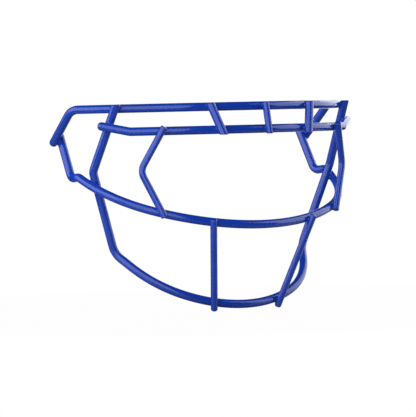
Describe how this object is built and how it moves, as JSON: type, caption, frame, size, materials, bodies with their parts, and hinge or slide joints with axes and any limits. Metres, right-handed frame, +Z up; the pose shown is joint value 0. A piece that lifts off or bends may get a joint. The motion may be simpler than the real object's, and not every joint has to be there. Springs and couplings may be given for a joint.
{
  "type": "football helmet facemask",
  "caption": "Open football facemask of bent round wire, with two brow bars, a main bar, a side and jaw bar, eye guards, mouth bars and brow ties welded where they cross, dipped in glossy blue.",
  "frame": {"origin": "under the middle of the mask's whole box, on the surface that its mouth bars' feet touch", "axes": "+X to the right as seen from the front, +Y back towards the helmet, +Z up; left and right in node names are as seen from the front"},
  "size_m": [0.2412, 0.121, 0.1553],
  "materials": {
    "blue_coat": "glossy thick dipped coat over steel wire"
  },
  "bodies": {
    "root": {"brow_bar": "blue_coat", "brow_to_centre_tie_weld": "blue_coat", "centre_brow_tie": "blue_coat", "left_brow_tie": "blue_coat", "left_brow_to_side_weld": "blue_coat", "left_brow_to_tie_weld": "blue_coat", "left_eye_guard_bar": "blue_coat", "left_jaw_to_mouth_weld": "blue_coat", "left_lower_brow_to_eye_guard_weld": "blue_coat", "left_lower_brow_to_side_weld": "blue_coat", "left_lower_brow_to_tie_weld": "blue_coat", "left_main_to_eye_guard_weld": "blue_coat", "left_main_to_mouth_weld": "blue_coat", "left_main_to_side_weld": "blue_coat", "left_main_to_wing_weld": "blue_coat", "left_mouth_bar": "blue_coat", "lower_brow_bar": "blue_coat", "lower_brow_to_centre_tie_weld": "blue_coat", "main_bar": "blue_coat", "right_brow_tie": "blue_coat", "right_brow_to_side_weld": "blue_coat", "right_brow_to_tie_weld": "blue_coat", "right_eye_guard_bar": "blue_coat", "right_jaw_to_mouth_weld": "blue_coat", "right_lower_brow_to_eye_guard_weld": "blue_coat", "right_lower_brow_to_side_weld": "blue_coat", "right_lower_brow_to_tie_weld": "blue_coat", "right_main_to_eye_guard_weld": "blue_coat", "right_main_to_mouth_weld": "blue_coat", "right_main_to_side_weld": "blue_coat", "right_main_to_wing_weld": "blue_coat", "right_mouth_bar": "blue_coat", "side_and_jaw_bar": "blue_coat"}
  },
  "joints": []
}
